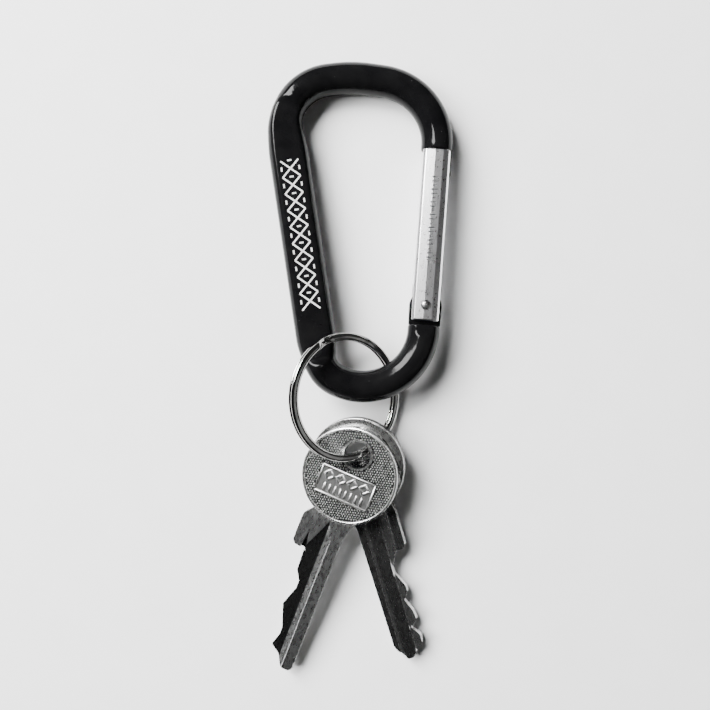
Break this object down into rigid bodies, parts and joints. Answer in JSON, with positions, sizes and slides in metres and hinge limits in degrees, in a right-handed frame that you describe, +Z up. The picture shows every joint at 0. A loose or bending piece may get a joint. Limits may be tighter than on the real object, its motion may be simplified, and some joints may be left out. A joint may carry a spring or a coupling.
{
  "type": "carabiner keyring",
  "caption": "Sprung-gate carabiner with a split ring through its eye and flat keys hanging on the ring.",
  "frame": {"origin": "centre of the bounding box's base, on the surface that the object lies on", "axes": "+Y along the carabiner from the keys to its top end, +Z up from the surface, +X towards the gate side"},
  "size_m": [0.044, 0.1454, 0.0183],
  "materials": {
    "black_anodised": "gloss",
    "polished_aluminium": "polished",
    "spring_steel": "satin",
    "nickel_plate": "gloss",
    "nickel_silver": "satin"
  },
  "bodies": {
    "carabiner": {"carabiner_body": "black_anodised"},
    "gate_assembly": {"gate": "polished_aluminium", "gate_rivet": "spring_steel", "gate_spring": "spring_steel"},
    "plunger": {"gate_plunger": "spring_steel"},
    "ring": {"split_ring": "nickel_plate"},
    "upper_key": {"front_key": "nickel_silver"},
    "lower_key": {"rear_key": "nickel_silver"}
  },
  "joints": [
    {"name": "gate_hinge", "type": "hinge", "parent": "carabiner", "child": "gate_assembly", "pos_m": [0.01528, 0.01423, 0.00648], "axis": [0, 0.0499, 0.9988], "range_deg": [0, 30], "stiffness_Nm_per_rad": 0.03, "springref_deg": -20.05},
    {"name": "plunger_slide", "type": "slide", "parent": "gate_assembly", "child": "plunger", "axis": [0.0769, 0.9958, -0.0498], "range_m": [0, 0.00065], "deforming": ["gate_spring"]},
    {"name": "ring_swing", "type": "hinge", "parent": "carabiner", "child": "ring", "pos_m": [-0.00123, -0.00115, 0.00798], "axis": [1, 0, 0], "range_deg": [0, 75]},
    {"name": "front_key_turn", "type": "hinge", "parent": "ring", "child": "upper_key", "pos_m": [-0.00049, -0.02055, 0.0075], "axis": [-0.2225, -0.0211, 0.9747], "range_deg": [-60, 10]},
    {"name": "rear_key_turn", "type": "hinge", "parent": "ring", "child": "lower_key", "pos_m": [0.00185, -0.01771, 0.00529], "axis": [-0.2321, -0.1087, 0.9666], "range_deg": [-10, 60]}
  ],
  "couplings": [
    {"joint": "plunger_slide", "follows": "gate_hinge", "m_per_rad": 0.00124}
  ]
}
